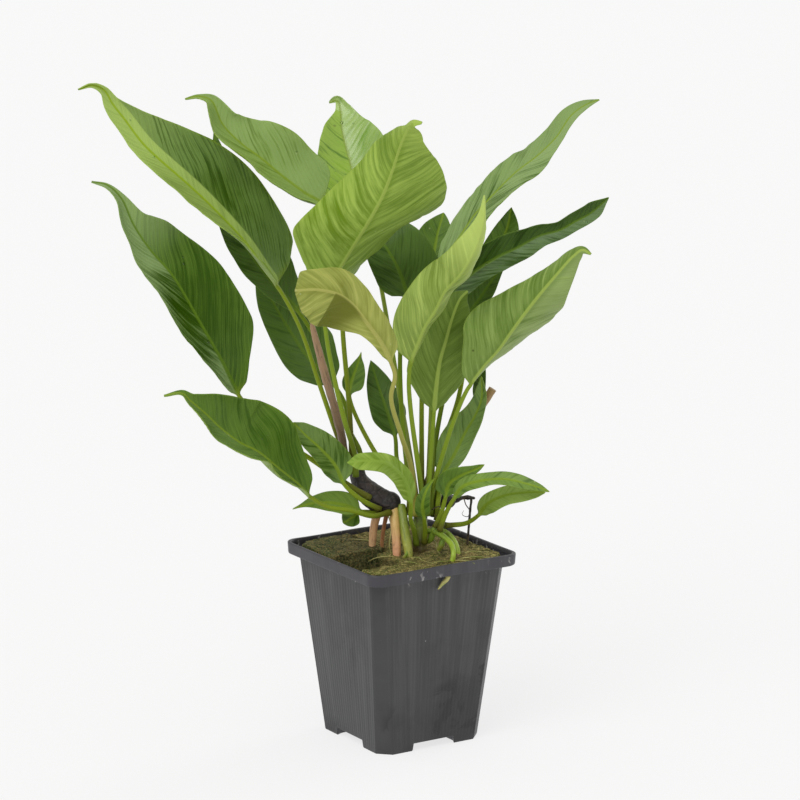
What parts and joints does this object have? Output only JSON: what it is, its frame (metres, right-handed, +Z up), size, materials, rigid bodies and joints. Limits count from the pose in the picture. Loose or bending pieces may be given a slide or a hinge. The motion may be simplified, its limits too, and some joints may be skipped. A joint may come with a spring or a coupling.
{
  "type": "potted anubias",
  "caption": "Leafy aquarium plant with pointed oval leaves on long petioles, rooted in mineral wool in a tapered square nursery pot.",
  "frame": {"origin": "on the ground under the middle of the whole plant and pot's bounding box", "axes": "+Z is up; X and Y run square to the pot's side faces, and the pictured corner of the pot points towards -X -Y"},
  "size_m": [0.2762, 0.2008, 0.3421],
  "materials": {
    "pot": "moulded, slightly glossy, smudged",
    "wool": "wet fibrous mineral wool, algae-stained",
    "rhizome": "rough wet bark",
    "stem": "smooth living stem",
    "dead": "decayed, matte",
    "sheath": "dry papery sheath",
    "leaf_green": "leathery, semi-gloss",
    "leaf_dark": "leathery, glossy",
    "leaf_pale": "pale underside, satin",
    "leaf_yellow": "ageing leaf, satin"
  },
  "bodies": {
    "root": {"cut_stub": "stem", "dead_rhizome": "dead", "leaf_back_left": "leaf_dark", "leaf_back_left_low": "leaf_dark", "leaf_behind_right": "leaf_dark", "leaf_centre": "leaf_pale", "leaf_dark_low": "leaf_dark", "leaf_dark_middle": "leaf_dark", "leaf_far_bright": "leaf_green", "leaf_far_middle": "leaf_green", "leaf_far_right": "leaf_green", "leaf_far_right_low": "leaf_green", "leaf_front_small": "leaf_green", "leaf_left": "leaf_green", "leaf_low_arch": "leaf_green", "leaf_low_left": "leaf_green", "leaf_low_left_under": "leaf_green", "leaf_low_middle": "leaf_green", "leaf_low_right": "leaf_dark", "leaf_low_small": "leaf_green", "leaf_mid_right": "leaf_pale", "leaf_narrow_right": "leaf_dark", "leaf_pale_right": "leaf_pale", "leaf_ragged": "leaf_green", "leaf_right_dark": "leaf_dark", "leaf_right_low": "leaf_pale", "leaf_small_right": "leaf_green", "leaf_top": "leaf_green", "leaf_top_left": "leaf_green", "leaf_top_right": "leaf_green", "leaf_upper_left": "leaf_green", "leaf_yellow": "leaf_yellow", "pot": "pot", "rhizome_left": "rhizome", "sheath": "sheath", "stem_right": "stem", "wool_front": "wool", "wool_left": "wool"}
  },
  "joints": []
}
